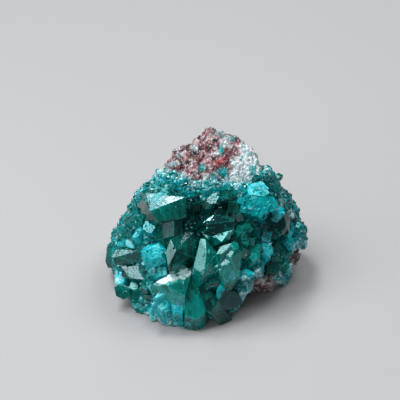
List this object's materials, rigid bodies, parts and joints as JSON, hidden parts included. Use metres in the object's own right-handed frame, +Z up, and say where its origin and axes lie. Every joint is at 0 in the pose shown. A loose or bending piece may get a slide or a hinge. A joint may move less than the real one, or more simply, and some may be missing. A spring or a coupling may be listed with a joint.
{
  "type": "dioptase specimen on matrix",
  "caption": "Mineral specimen: a crust of intergrown emerald-green dioptase crystals over a wedge of reddish-brown host rock, trimmed flat underneath to stand.",
  "frame": {"origin": "middle of the footprint's bounding box, on the surface the specimen stands on", "axes": "+Z up, +X to the right of the crystal-covered front, -Y out of the crystal-covered front"},
  "size_m": [0.0442, 0.0382, 0.0353],
  "materials": {
    "host_rock": "rough, granular, with pale and blue-green stains",
    "dioptase": "glossy, transparent to cloudy crystal faces"
  },
  "bodies": {
    "root": {"matrix": "host_rock", "dioptase_crystals": "dioptase"}
  },
  "joints": []
}
